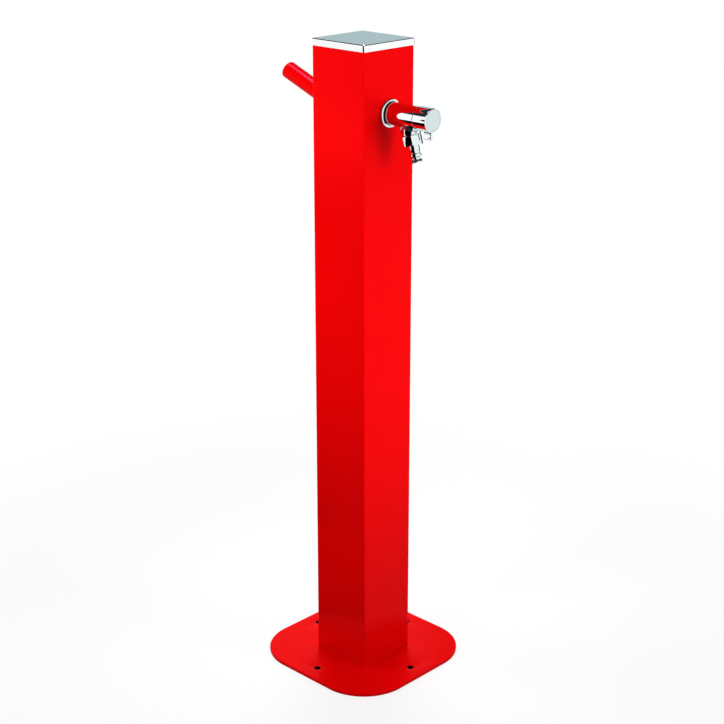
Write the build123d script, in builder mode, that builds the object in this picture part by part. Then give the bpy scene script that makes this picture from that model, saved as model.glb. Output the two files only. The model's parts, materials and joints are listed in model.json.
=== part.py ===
from build123d import *
from math import cos, pi, radians, sin, sqrt
import os

# A garden standpipe: a square column on a rounded plate, with a quarter-turn tap and a hose peg.
# Lengths in millimetres. The origin is the centre of the plate's underside, the ground is at
# height 0, the tap looks along -Y and the hose peg along +Y.

os.makedirs("parts", exist_ok=True)

overrun = 1.0

# Column, plate and cap
overall_height = 950.0
column_side = 100.0
column_wall = 2.0
column_corner = 2.5
plate_side = 250.0
plate_corner = 75.0
plate_thickness = 5.0
plate_edge_break = 0.5
anchor_inset = 25.0
anchor_count = 4
anchor_hole = 9.0
supply_opening = 70.0
cap_sheet = 0.8
cap_clearance = 0.2
cap_rim = 10.0
cap_bend = 2.0
cap_seam = 0.5

# Plug under the cap
plug_flange = 2.0
plug_wall = 2.4
plug_depth = 24.0
plug_clearance = 0.1
plug_rib_reach = 2.0
plug_rib = 1.4
plug_ribs = 2
plug_corner = 1.0

# Hose peg
peg_drop = 100.0
peg_diameter = 25.0
peg_wall = 2.0
peg_length = 108.0
peg_rise = 21.0
peg_disc = 3.0
peg_edge_break = 0.8

# Supply pipe and its fittings
pipe_diameter = 15.0
pipe_wall = 1.0
pipe_bend = 30.0
pipe_insertion = 16.0
pipe_clearance = 0.05
water_bore = 13.0
inlet_drop = 15.0
inlet_thread = 26.0
inlet_bore = 20.6
inlet_bore_depth = 18.0
inlet_hex = 32.0
inlet_hex_height = 9.0
inlet_neck = 20.0
inlet_neck_height = 4.0
locknut_hex = 34.0
locknut_height = 7.0
foot_sheet = 3.0
foot_width = 44.0
foot_flange = 15.0
foot_height = 40.0
thread_clearance = 0.1

# Elbow behind the tap and its bracket
elbow_socket = 29.0
elbow_reach = 30.0
elbow_thread_depth = 22.0
elbow_flange = 3.0
elbow_flange_length = 62.0
elbow_flange_height = 32.0
elbow_tail = 21.0
elbow_tail_length = 36.0
elbow_tail_inset = 14.0
elbow_screw_pitch = 44.0
bracket_sheet = 2.0
bracket_height = 60.0
bracket_flange = 24.0
screw_thread = 5.0
screw_head = 9.0
screw_head_height = 3.0
screw_length = 12.0
screw_nut = 8.0
screw_nut_height = 4.0

# Tap: lengths along its axis are measured outwards from the column's face
tap_drop = 98.0
shank_thread = 20.8
shank_length = 24.0
shank_hole = 22.0
gasket_thickness = 2.0
neck_diameter = 27.0
rosette_diameter = 41.0
rosette_depth = 9.0
rosette_rim = 2.0
rosette_round = 3.5
rosette_groove = 0.5
rosette_clearance = 0.2
barrel_diameter = 32.0
barrel_end = 56.0
barrel_edge_break = 0.6
pocket_floor = 18.0
pocket_diameter = 24.0

# Quarter-turn valve in the barrel
housing_diameter = 19.0
housing_wall = 1.9
housing_inset = 1.5
housing_thread_length = 14.0
housing_hex = 22.0
housing_hex_height = 6.0
housing_neck = 13.0
housing_neck_length = 4.0
housing_ring_section = 1.8
ring_sides = 5
seal_width = 2.0
seal_thickness = 2.5
disc_thickness = 3.0
disc_clearance = 0.1
disc_port_inner = 2.2
disc_port_outer = 6.2
disc_port_angle = 80.0
running_clearance = 0.05
drive_slot = 2.6
drive_slot_depth = 1.4
drive_bar = 5.0
drive_bar_height = 3.0
drive_neck = 7.0
drive_neck_height = 2.5
drive_shoulder_height = 2.5
window_width = 9.0
spindle_diameter = 10.0
spindle_ring_section = 1.5
spindle_ring_squash = 0.05
spindle_ring_pitch = 6.0
spindle_ring_inset = 10.0
clip_width = 2.6
clip_thickness = 0.8
clip_gap = 3.0
spline_diameter = 8.0
spline_tooth = 0.6
spline_teeth = 10

# Knob
knob_diameter = 33.0
knob_gap = 1.0
knob_length = 24.0
knob_wall = 2.2
knob_web = 6.0
knob_hub = 16.0
knob_chamfer = 1.0
cover_thickness = 2.5
cover_inset = 0.2
cover_ledge = 2.0
knob_screw_thread = 4.0
knob_screw_head = 8.0
knob_screw_head_height = 3.0
knob_screw_length = 12.0
fin_length = 13.0
fin_thickness = 3.6
fin_drop = 11.0
fin_inset = 2.4
fin_round = 1.2

# Spout: lengths along its axis are measured from the tap's axis
spout_reach = 34.2
spout_lean = 17.0
spout_collar = 26.8
spout_collar_end = 26.0
spout_thread = 20.8
spout_thread_end = 36.0
valve_pocket = 16.0
valve_pocket_top = 18.0
nut_hex = 25.4
nut_turn = 24.0
nut_end = 41.0
nut_lip = 2.0
nut_gap = 0.3
washer_thickness = 1.5
stem_flange = 1.5
stem_diameter = 13.0
stem_shoulder = 15.0
stem_shoulder_end = 46.0
stem_taper_end = 50.0
stem_ridge = 16.0
stem_ridge_start = 52.6
stem_ridge_length = 3.2
stem_ridge_slope = 1.2
stem_end = 64.5
stem_tip_diameter = 14.0
stem_tip_length = 1.8
stem_bore = 9.0
stem_ring_section = 2.6
stem_ring_squash = 0.1
stem_clearance = 0.2

# Backflow preventer in the spout
cage_clearance = 0.1
cage_wall = 0.9
cage_length = 16.5
cage_seat = 1.7
cage_seat_diameter = 9.6
cage_hub = 6.0
cage_spider = 2.2
cage_arm = 1.6
cage_arms = 3
poppet_diameter = 11.6
poppet_thickness = 1.6
poppet_nose = 7.0
poppet_nose_height = 1.2
poppet_stem = 3.0
poppet_clearance = 0.1
spring_wire = 0.7
spring_diameter = 8.2
spring_turns = 3
wire_sides = 5

# Derived places
column_half = column_side / 2
anchor_circle = plate_side - 2 * anchor_inset
tap_height = overall_height - tap_drop
peg_height = overall_height - peg_drop
column_inner = column_side - 2 * column_wall
column_top = overall_height - cap_sheet - plug_flange
tap_root = Vector(0, -column_half, tap_height)
tap_outwards = Vector(0, -1, 0)
tap_axis = Axis(tap_root, tap_outwards)
tap_section = Plane(origin=tap_root, x_dir=(1, 0, 0), z_dir=(0, 0, -1))
tap_front = Plane(origin=tap_root, x_dir=(1, 0, 0), z_dir=tap_outwards)
spout_root = tap_root + tap_outwards * spout_reach
spout_lean_sine = sin(radians(spout_lean))
spout_lean_cosine = cos(radians(spout_lean))
spout_down = Vector(0, -spout_lean_sine, -spout_lean_cosine)
spout_axis = Axis(spout_root, spout_down)
spout_section = Plane(origin=spout_root, x_dir=(1, 0, 0), z_dir=(0, spout_lean_cosine, -spout_lean_sine))
spout_end = Plane(origin=spout_root, x_dir=(1, 0, 0), z_dir=spout_down)


# Column: a folded square tube with the tap's hole in its front wall
with BuildPart() as column_tube:
    with BuildSketch(Plane.XY.offset(plate_thickness)):
        RectangleRounded(column_side, column_side, column_corner)
        RectangleRounded(column_inner, column_inner, column_corner - column_wall, mode=Mode.SUBTRACT)
    extrude(amount=column_top - plate_thickness)
    with BuildSketch(tap_front):
        Circle(shank_hole / 2)
    extrude(amount=-column_wall - overrun, mode=Mode.SUBTRACT)
column_tube.part.label = "column_tube"
export_step(column_tube.part, "parts/column_tube.step")

# Base plate: four anchor holes in line with the column's sides and an opening for the supply
with BuildPart() as base_plate:
    with BuildSketch():
        RectangleRounded(plate_side, plate_side, plate_corner)
        Circle(supply_opening / 2, mode=Mode.SUBTRACT)
        with PolarLocations(anchor_circle / 2, anchor_count):
            Circle(anchor_hole / 2, mode=Mode.SUBTRACT)
    extrude(amount=plate_thickness)
    outer_edges = base_plate.faces().sort_by(Axis.Z)[-1].outer_wire().edges()
    chamfer(outer_edges, plate_edge_break)
base_plate.part.label = "base_plate"
export_step(base_plate.part, "parts/base_plate.step")

# Cap: a folded sheet lid whose skirts meet in an open seam at each corner
cap_side = column_side + 2 * (cap_clearance + cap_sheet)
with BuildPart() as top_cap:
    with BuildSketch(Plane.XY.offset(overall_height - cap_rim)):
        RectangleRounded(cap_side, cap_side, column_corner)
    extrude(amount=cap_rim)
    fillet(top_cap.faces().sort_by(Axis.Z)[-1].edges(), cap_bend)
    with BuildSketch(Plane.XY.offset(overall_height - cap_rim)):
        RectangleRounded(cap_side - 2 * cap_sheet, cap_side - 2 * cap_sheet, column_corner - cap_sheet)
    extrude(amount=cap_rim - cap_sheet, mode=Mode.SUBTRACT)
    underside = top_cap.faces().filter_by(Axis.Z).group_by(Axis.Z)[-2]
    chamfer(underside.edges(), cap_bend - cap_sheet)
    with BuildSketch(Plane.XY.offset(overall_height - cap_rim)):
        with PolarLocations(cap_side / sqrt(2), 4, start_angle=45):
            Rectangle(2 * (column_corner + cap_sheet), cap_seam)
    extrude(amount=cap_rim - cap_sheet - cap_bend, mode=Mode.SUBTRACT)
top_cap.part.label = "top_cap"
export_step(top_cap.part, "parts/top_cap.step")

# Plug: a tray whose flange lies on the column's top edge and whose ribs grip its walls
plug_outer = column_inner - 2 * plug_rib_reach
plug_rib_side = column_inner - 2 * plug_clearance
plug_rib_pitch = plug_depth / plug_ribs
lowest_rib = column_top - plug_depth + plug_rib_pitch / 2
with BuildPart() as cap_plug:
    with BuildSketch(Plane.XY.offset(column_top)):
        RectangleRounded(column_side, column_side, column_corner)
    extrude(amount=plug_flange)
    chamfer(cap_plug.faces().sort_by(Axis.Z)[-1].edges(), cap_bend - cap_sheet)
    with BuildSketch(Plane.XY.offset(column_top - plug_depth)):
        Rectangle(plug_outer, plug_outer)
        Rectangle(plug_outer - 2 * plug_wall, plug_outer - 2 * plug_wall, mode=Mode.SUBTRACT)
    extrude(amount=plug_depth)
    for rib in range(plug_ribs):
        with BuildSketch(Plane.XY.offset(lowest_rib + rib * plug_rib_pitch)):
            RectangleRounded(plug_rib_side, plug_rib_side, plug_corner)
            Rectangle(plug_outer - plug_wall, plug_outer - plug_wall, mode=Mode.SUBTRACT)
        extrude(amount=plug_rib)
cap_plug.part.label = "cap_plug"
export_step(cap_plug.part, "parts/cap_plug.step")

# Hose peg: a round tube that slopes up from the back wall, cut to lie on it
peg_root = Vector(0, column_half, peg_height)
peg_outwards = Vector(0, cos(radians(peg_rise)), sin(radians(peg_rise)))
peg_overlap = peg_diameter
peg_start = Plane(origin=peg_root - peg_outwards * peg_overlap, x_dir=(1, 0, 0), z_dir=peg_outwards)
peg_end = Plane(origin=peg_root + peg_outwards * peg_length, x_dir=(1, 0, 0), z_dir=peg_outwards)
with BuildPart() as hose_peg:
    with BuildSketch(peg_start):
        Circle(peg_diameter / 2)
        Circle(peg_diameter / 2 - peg_wall, mode=Mode.SUBTRACT)
    extrude(amount=peg_overlap + peg_length)
    split(bisect_by=Plane(origin=peg_root, z_dir=(0, 1, 0)), keep=Keep.TOP)
    rim = hose_peg.edges().filter_by(GeomType.CIRCLE).group_by(Axis.Y)[-1].sort_by(SortBy.RADIUS)[-1]
    chamfer(rim, peg_edge_break)
hose_peg.part.label = "hose_peg"
export_step(hose_peg.part, "parts/hose_peg.step")

with BuildPart() as peg_end_disc:
    with BuildSketch(peg_end):
        Circle(peg_diameter / 2 - peg_wall)
    extrude(amount=-peg_disc)
peg_end_disc.part.label = "peg_end_disc"
export_step(peg_end_disc.part, "parts/peg_end_disc.step")

# Elbow: the tap screws into its socket, and its tail takes the supply pipe
elbow_mouth = -column_half + column_wall
elbow_back = elbow_mouth + elbow_reach
tail_place = elbow_back - elbow_tail_inset
tail_bottom = tap_height - elbow_tail_length
pipe_socket = pipe_diameter + 2 * pipe_clearance
with BuildPart() as wall_elbow:
    with BuildSketch(Plane.XZ.offset(-elbow_back)):
        with Locations((0, tap_height)):
            SlotOverall(elbow_flange_length, elbow_flange_height)
    extrude(amount=elbow_flange)
    with BuildSketch(Plane.XZ.offset(-elbow_back)):
        with Locations((0, tap_height)):
            Circle(elbow_socket / 2)
    extrude(amount=elbow_reach)
    with BuildSketch(Plane.XY.offset(tail_bottom)):
        with Locations((0, tail_place)):
            Circle(elbow_tail / 2)
    extrude(amount=elbow_tail_length)
    with BuildSketch(Plane.XZ.offset(-elbow_mouth)):
        with Locations((0, tap_height)):
            Circle(shank_thread / 2 + thread_clearance / 2)
    extrude(amount=-elbow_thread_depth, mode=Mode.SUBTRACT)
    with BuildSketch(Plane.XY.offset(tail_bottom)):
        with Locations((0, tail_place)):
            Circle(water_bore / 2)
    extrude(amount=elbow_tail_length, mode=Mode.SUBTRACT)
    with BuildSketch(Plane.XY.offset(tail_bottom)):
        with Locations((0, tail_place)):
            Circle(pipe_socket / 2)
    extrude(amount=pipe_insertion, mode=Mode.SUBTRACT)
    with BuildSketch(Plane.XZ.offset(-elbow_back)):
        with Locations((-elbow_screw_pitch / 2, tap_height), (elbow_screw_pitch / 2, tap_height)):
            Circle(screw_thread / 2 + thread_clearance)
    extrude(amount=elbow_flange, mode=Mode.SUBTRACT)
wall_elbow.part.label = "wall_elbow"
export_step(wall_elbow.part, "parts/wall_elbow.step")

# Bracket: a folded channel between the column's side walls, behind the elbow
bracket_back = elbow_back + bracket_sheet
with BuildPart() as elbow_bracket:
    with BuildSketch(Plane.XY.offset(tap_height - bracket_height / 2)):
        with Locations((0, elbow_back)):
            Rectangle(column_inner, bracket_flange, align=(Align.CENTER, Align.MIN))
        with Locations((0, bracket_back)):
            Rectangle(
                column_inner - 2 * bracket_sheet,
                bracket_flange,
                align=(Align.CENTER, Align.MIN),
                mode=Mode.SUBTRACT,
            )
    extrude(amount=bracket_height)
    folds = elbow_bracket.edges().filter_by(Axis.Z).group_by(Axis.Y)[0]
    fillet(folds, bracket_sheet)
    with BuildSketch(Plane.XZ.offset(-elbow_back)):
        with Locations((-elbow_screw_pitch / 2, tap_height), (elbow_screw_pitch / 2, tap_height)):
            Circle(screw_thread / 2 + thread_clearance)
    extrude(amount=-bracket_sheet, mode=Mode.SUBTRACT)
elbow_bracket.part.label = "elbow_bracket"
export_step(elbow_bracket.part, "parts/elbow_bracket.step")

# Screws and nuts that hold the elbow on its bracket
elbow_front = elbow_back - elbow_flange
with BuildPart() as elbow_screws:
    with BuildSketch(Plane.XZ.offset(-elbow_front)):
        with Locations((-elbow_screw_pitch / 2, tap_height), (elbow_screw_pitch / 2, tap_height)):
            Circle(screw_head / 2)
    extrude(amount=screw_head_height)
    with BuildSketch(Plane.XZ.offset(-elbow_front)):
        with Locations((-elbow_screw_pitch / 2, tap_height), (elbow_screw_pitch / 2, tap_height)):
            Circle(screw_thread / 2)
    extrude(amount=-screw_length)
elbow_screws.part.label = "elbow_screws"
export_step(elbow_screws.part, "parts/elbow_screws.step")

with BuildPart() as elbow_nuts:
    with BuildSketch(Plane.XZ.offset(-bracket_back)):
        with Locations((-elbow_screw_pitch / 2, tap_height), (elbow_screw_pitch / 2, tap_height)):
            RegularPolygon(screw_nut / 2, 6, major_radius=False)
            Circle(screw_thread / 2 + thread_clearance / 2, mode=Mode.SUBTRACT)
    extrude(amount=-screw_nut_height)
elbow_nuts.part.label = "elbow_nuts"
export_step(elbow_nuts.part, "parts/elbow_nuts.step")

# Foot bracket: a folded bridge across the column that carries the inlet socket
foot_top = foot_height + foot_sheet
with BuildPart() as foot_bracket:
    with BuildSketch(Plane.XZ.offset(-foot_width / 2)):
        with Locations((0, foot_height)):
            Rectangle(column_inner, foot_sheet + foot_flange, align=(Align.CENTER, Align.MIN))
        with Locations((0, foot_top)):
            Rectangle(
                column_inner - 2 * foot_sheet,
                foot_flange,
                align=(Align.CENTER, Align.MIN),
                mode=Mode.SUBTRACT,
            )
    extrude(amount=foot_width)
    folds = foot_bracket.edges().filter_by(Axis.Y).group_by(Axis.Z)[0]
    fillet(folds, foot_sheet)
    with BuildSketch(Plane.XY.offset(foot_height)):
        Circle(inlet_thread / 2 + thread_clearance)
    extrude(amount=foot_sheet, mode=Mode.SUBTRACT)
foot_bracket.part.label = "foot_bracket"
export_step(foot_bracket.part, "parts/foot_bracket.step")

# Inlet socket: threaded for the supply below, with the pipe's socket above
inlet_height = foot_height - inlet_drop
inlet_neck_bottom = foot_top + inlet_hex_height
pipe_bottom = inlet_neck_bottom + inlet_neck_height
inlet_top = pipe_bottom + pipe_insertion
with BuildPart() as inlet_socket:
    with BuildSketch(Plane.XY.offset(inlet_height)):
        Circle(inlet_thread / 2)
    extrude(amount=foot_top - inlet_height)
    with BuildSketch(Plane.XY.offset(foot_top)):
        RegularPolygon(inlet_hex / 2, 6, major_radius=False)
    extrude(amount=inlet_hex_height)
    with BuildSketch(Plane.XY.offset(inlet_neck_bottom)):
        Circle(inlet_neck / 2)
    extrude(amount=inlet_top - inlet_neck_bottom)
    with BuildSketch(Plane.XY.offset(inlet_height)):
        Circle(water_bore / 2)
    extrude(amount=inlet_top - inlet_height, mode=Mode.SUBTRACT)
    with BuildSketch(Plane.XY.offset(inlet_height)):
        Circle(inlet_bore / 2)
    extrude(amount=inlet_bore_depth, mode=Mode.SUBTRACT)
    with BuildSketch(Plane.XY.offset(pipe_bottom)):
        Circle(pipe_socket / 2)
    extrude(amount=pipe_insertion, mode=Mode.SUBTRACT)
inlet_socket.part.label = "inlet_socket"
export_step(inlet_socket.part, "parts/inlet_socket.step")

with BuildPart() as inlet_locknut:
    with BuildSketch(Plane.XY.offset(foot_height)):
        RegularPolygon(locknut_hex / 2, 6, major_radius=False)
        Circle(inlet_thread / 2 + thread_clearance / 2, mode=Mode.SUBTRACT)
    extrude(amount=-locknut_height)
inlet_locknut.part.label = "inlet_locknut"
export_step(inlet_locknut.part, "parts/inlet_locknut.step")

# Riser: down from the elbow's tail, across to the column's axis, and down to the inlet socket
pipe_top = tail_bottom + pipe_insertion
offset_top = tail_bottom - pipe_bend
offset_bottom = offset_top - abs(tail_place)
with BuildPart() as riser_pipe:
    with BuildLine() as riser_route:
        FilletPolyline(
            (0, tail_place, pipe_top),
            (0, tail_place, offset_top),
            (0, 0, offset_bottom),
            (0, 0, pipe_bottom),
            radius=pipe_bend,
        )
    with BuildSketch(Plane(origin=riser_route.line @ 0, z_dir=riser_route.line % 0)):
        Circle(pipe_diameter / 2)
        Circle(pipe_diameter / 2 - pipe_wall, mode=Mode.SUBTRACT)
    sweep()
riser_pipe.part.label = "riser_pipe"
export_step(riser_pipe.part, "parts/riser_pipe.step")

# Tap gasket and rosette, both round the tap's neck and seated on the column's face
with BuildPart() as tap_gasket:
    with BuildSketch(tap_front):
        Circle(neck_diameter / 2)
        Circle(shank_thread / 2 + thread_clearance, mode=Mode.SUBTRACT)
    extrude(amount=gasket_thickness)
tap_gasket.part.label = "tap_gasket"
export_step(tap_gasket.part, "parts/tap_gasket.step")

rosette_bore = neck_diameter / 2 + rosette_clearance
rosette_collar = rosette_diameter / 2 - rosette_round - rosette_groove
with BuildPart() as tap_rosette:
    with BuildSketch(tap_section):
        with BuildLine():
            rim = Polyline(
                (rosette_bore, 0),
                (rosette_diameter / 2, 0),
                (rosette_diameter / 2, rosette_rim),
            )
            rounding = JernArc(rim @ 1, rim % 1, rosette_round, 90)
            Polyline(
                rounding @ 1,
                (rosette_collar + rosette_groove, rosette_rim),
                (rosette_collar, rosette_rim),
                (rosette_collar, rosette_depth),
                (rosette_bore, rosette_depth),
                (rosette_bore, 0),
            )
        make_face()
    revolve(axis=tap_axis)
tap_rosette.part.label = "tap_rosette"
export_step(tap_rosette.part, "parts/tap_rosette.step")

# Tap body: threaded shank, neck and barrel in one piece with the slanted spout
with BuildPart() as tap_body:
    with BuildSketch(tap_section):
        with BuildLine():
            Polyline(
                (0, -shank_length),
                (shank_thread / 2, -shank_length),
                (shank_thread / 2, gasket_thickness),
                (neck_diameter / 2, gasket_thickness),
                (neck_diameter / 2, rosette_depth),
                (barrel_diameter / 2, rosette_depth),
                (barrel_diameter / 2, barrel_end),
                (0, barrel_end),
                close=True,
            )
        make_face()
    revolve(axis=tap_axis)
    barrel_edges = tap_body.edges().filter_by(GeomType.CIRCLE).group_by(Axis.Y)[0]
    chamfer(barrel_edges, barrel_edge_break)
    with BuildSketch(spout_section):
        with BuildLine():
            Polyline(
                (0, 0),
                (spout_collar / 2, 0),
                (spout_collar / 2, spout_collar_end),
                (spout_thread / 2, spout_collar_end),
                (spout_thread / 2, spout_thread_end),
                (0, spout_thread_end),
                close=True,
            )
        make_face()
    revolve(axis=spout_axis)
    with BuildSketch(spout_end):
        Circle(water_bore / 2)
    extrude(amount=spout_thread_end, mode=Mode.SUBTRACT)
    with BuildSketch(spout_end.offset(valve_pocket_top)):
        Circle(valve_pocket / 2)
    extrude(amount=spout_thread_end - valve_pocket_top, mode=Mode.SUBTRACT)
    with BuildSketch(tap_front.offset(-shank_length)):
        Circle(water_bore / 2)
    extrude(amount=shank_length + pocket_floor, mode=Mode.SUBTRACT)
    with BuildSketch(tap_front.offset(pocket_floor)):
        Circle(pocket_diameter / 2)
    extrude(amount=barrel_end - pocket_floor, mode=Mode.SUBTRACT)
tap_body.part.label = "tap_body"
export_step(tap_body.part, "parts/tap_body.step")

# Valve housing: seal, discs and drive sit in its bore, and its thread closes the barrel
housing_start = pocket_floor + housing_inset
housing_bore = housing_diameter / 2 - housing_wall
fixed_disc_start = pocket_floor + seal_thickness
moving_disc_start = fixed_disc_start + disc_thickness + running_clearance
drive_start = moving_disc_start + disc_thickness
drive_neck_start = drive_start + drive_bar_height
shoulder_start = drive_neck_start + drive_neck_height
shoulder_end = shoulder_start + drive_shoulder_height
bore_step = shoulder_end + running_clearance
housing_thread_start = barrel_end - housing_thread_length
hex_end = barrel_end + housing_hex_height
housing_end = hex_end + housing_neck_length
housing_thread = pocket_diameter / 2 - thread_clearance / 2
spindle_bore = spindle_diameter / 2 + running_clearance
ring_groove_place = housing_thread_start + housing_ring_section
with BuildPart() as cartridge_housing:
    with BuildSketch(tap_section):
        with BuildLine():
            Polyline(
                (housing_bore, housing_start),
                (housing_diameter / 2, housing_start),
                (housing_diameter / 2, housing_thread_start),
                (housing_thread, housing_thread_start),
                (housing_thread, barrel_end),
                (housing_neck / 2, barrel_end),
                (housing_neck / 2, housing_end),
                (spindle_bore, housing_end),
                (spindle_bore, bore_step),
                (housing_bore, bore_step),
                close=True,
            )
        make_face()
    revolve(axis=tap_axis)
    with BuildSketch(tap_front.offset(barrel_end)):
        RegularPolygon(housing_hex / 2, 6, major_radius=False)
        Circle(spindle_bore, mode=Mode.SUBTRACT)
    extrude(amount=housing_hex_height)
    with BuildSketch(tap_section):
        with Locations((housing_thread, ring_groove_place)):
            Rectangle(2 * housing_ring_section, housing_ring_section + thread_clearance)
    revolve(axis=tap_axis, mode=Mode.SUBTRACT)
    with BuildSketch(tap_front.offset(drive_start)):
        Rectangle(housing_diameter, window_width)
    extrude(amount=shoulder_start - drive_start, mode=Mode.SUBTRACT)
cartridge_housing.part.label = "cartridge_housing"
export_step(cartridge_housing.part, "parts/cartridge_housing.step")

with BuildPart() as housing_ring:
    with BuildSketch(tap_section):
        with Locations((pocket_diameter / 2 - housing_ring_section / 2, ring_groove_place)):
            RegularPolygon(housing_ring_section / 2, ring_sides, rotation=180 / ring_sides)
    revolve(axis=tap_axis)
housing_ring.part.label = "housing_ring"
export_step(housing_ring.part, "parts/housing_ring.step")

disc_radius = housing_bore - disc_clearance
with BuildPart() as seat_seal:
    with BuildSketch(tap_front.offset(pocket_floor)):
        Circle(disc_radius)
        Circle(disc_radius - seal_width, mode=Mode.SUBTRACT)
    extrude(amount=seal_thickness)
seat_seal.part.label = "seat_seal"
export_step(seat_seal.part, "parts/seat_seal.step")


def disc_ports(first_angle):
    """Draw two opposite ring sectors, the ports of a ceramic disc."""
    with BuildSketch() as ports:
        for side in range(2):
            start = first_angle + side * 180 - disc_port_angle / 2
            with BuildLine():
                inner = CenterArc((0, 0), disc_port_inner, start, disc_port_angle)
                outer = CenterArc((0, 0), disc_port_outer, start, disc_port_angle)
                Line(inner @ 0, outer @ 0)
                Line(inner @ 1, outer @ 1)
            make_face()
    return ports.sketch


# Ceramic discs: their ports stand at right angles while the tap is closed
with BuildPart() as fixed_disc:
    with BuildSketch(tap_front.offset(fixed_disc_start)):
        Circle(disc_radius)
    extrude(amount=disc_thickness)
    with BuildSketch(tap_front.offset(fixed_disc_start)):
        add(disc_ports(0))
    extrude(amount=disc_thickness, mode=Mode.SUBTRACT)
fixed_disc.part.label = "fixed_disc"
export_step(fixed_disc.part, "parts/fixed_disc.step")

with BuildPart() as moving_disc:
    with BuildSketch(tap_front.offset(moving_disc_start)):
        Circle(disc_radius)
    extrude(amount=disc_thickness)
    with BuildSketch(tap_front.offset(moving_disc_start)):
        add(disc_ports(90))
    extrude(amount=disc_thickness, mode=Mode.SUBTRACT)
    with BuildSketch(tap_front.offset(drive_start)):
        Rectangle(2 * disc_radius, drive_slot)
    extrude(amount=-drive_slot_depth, mode=Mode.SUBTRACT)
moving_disc.part.label = "moving_disc"
export_step(moving_disc.part, "parts/moving_disc.step")


def spline_outline(tip_radius):
    """Draw the toothed outline of the spindle's end or of the hole that it fits."""
    corners = []
    for step in range(2 * spline_teeth):
        turn = radians(180 * step / spline_teeth)
        reach = tip_radius - spline_tooth * (step % 2)
        corners.append((reach * cos(turn), reach * sin(turn)))
    with BuildSketch() as outline:
        with BuildLine():
            Polyline(corners, close=True)
        make_face()
    return outline.sketch


# Spindle: drive bar, thrust shoulder, shaft with two ring grooves, clip groove and splined end
clip_start = housing_end + running_clearance
clip_end = clip_start + clip_thickness
clip_groove = spindle_diameter / 2 - clip_width / 3
hub_start = clip_end + running_clearance
knob_start = barrel_end + knob_gap
knob_end = knob_start + knob_length
cover_start = knob_end - cover_inset - cover_thickness
web_end = cover_start - knob_screw_head_height - running_clearance
spindle_end = web_end - overrun / 2
first_ring = bore_step + spindle_ring_inset
ring_groove = spindle_diameter / 2 + spindle_ring_squash / 2 - spindle_ring_section
ring_places = [first_ring, first_ring + spindle_ring_pitch]
with BuildPart() as spindle:
    with BuildSketch(tap_front.offset(drive_start)):
        Circle(disc_radius)
        Rectangle(2 * disc_radius, drive_bar, mode=Mode.INTERSECT)
    extrude(amount=drive_bar_height)
    with BuildSketch(tap_front.offset(drive_start - drive_slot_depth)):
        Circle(disc_radius)
        Rectangle(2 * disc_radius, drive_slot - 2 * running_clearance, mode=Mode.INTERSECT)
    extrude(amount=drive_slot_depth)
    with BuildSketch(tap_section):
        with BuildLine():
            Polyline(
                (0, drive_start),
                (drive_bar / 2, drive_start),
                (drive_bar / 2, drive_neck_start),
                (drive_neck / 2, drive_neck_start),
                (drive_neck / 2, shoulder_start),
                (disc_radius, shoulder_start),
                (disc_radius, shoulder_end),
                (spindle_diameter / 2, shoulder_end),
                (spindle_diameter / 2, clip_start),
                (clip_groove, clip_start),
                (clip_groove, clip_end),
                (spline_diameter / 2, clip_end),
                (0, clip_end),
                close=True,
            )
        make_face()
    revolve(axis=tap_axis)
    with BuildSketch(tap_front.offset(clip_end)):
        add(spline_outline(spline_diameter / 2))
    extrude(amount=spindle_end - clip_end)
    with BuildSketch(tap_section):
        for place in ring_places:
            with Locations((spindle_diameter / 2, place)):
                Rectangle(2 * (spindle_diameter / 2 - ring_groove), spindle_ring_section)
    revolve(axis=tap_axis, mode=Mode.SUBTRACT)
    with BuildSketch(tap_front.offset(spindle_end)):
        Circle(knob_screw_thread / 2 + thread_clearance / 2)
    extrude(amount=-knob_screw_length, mode=Mode.SUBTRACT)
spindle.part.label = "spindle"
export_step(spindle.part, "parts/spindle.step")

with BuildPart() as spindle_rings:
    with BuildSketch(tap_section):
        for place in ring_places:
            with Locations((ring_groove + spindle_ring_section / 2, place)):
                RegularPolygon(spindle_ring_section / 2, ring_sides, rotation=180 / ring_sides)
    revolve(axis=tap_axis)
spindle_rings.part.label = "spindle_rings"
export_step(spindle_rings.part, "parts/spindle_rings.step")

with BuildPart() as spindle_clip:
    with BuildSketch(tap_front.offset(clip_start)):
        Circle(clip_groove + clip_width)
        Circle(clip_groove, mode=Mode.SUBTRACT)
        with Locations((0, -clip_groove - clip_width / 2)):
            Rectangle(clip_gap, 2 * clip_width, mode=Mode.SUBTRACT)
    extrude(amount=clip_thickness)
spindle_clip.part.label = "spindle_clip"
export_step(spindle_clip.part, "parts/spindle_clip.step")

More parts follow.
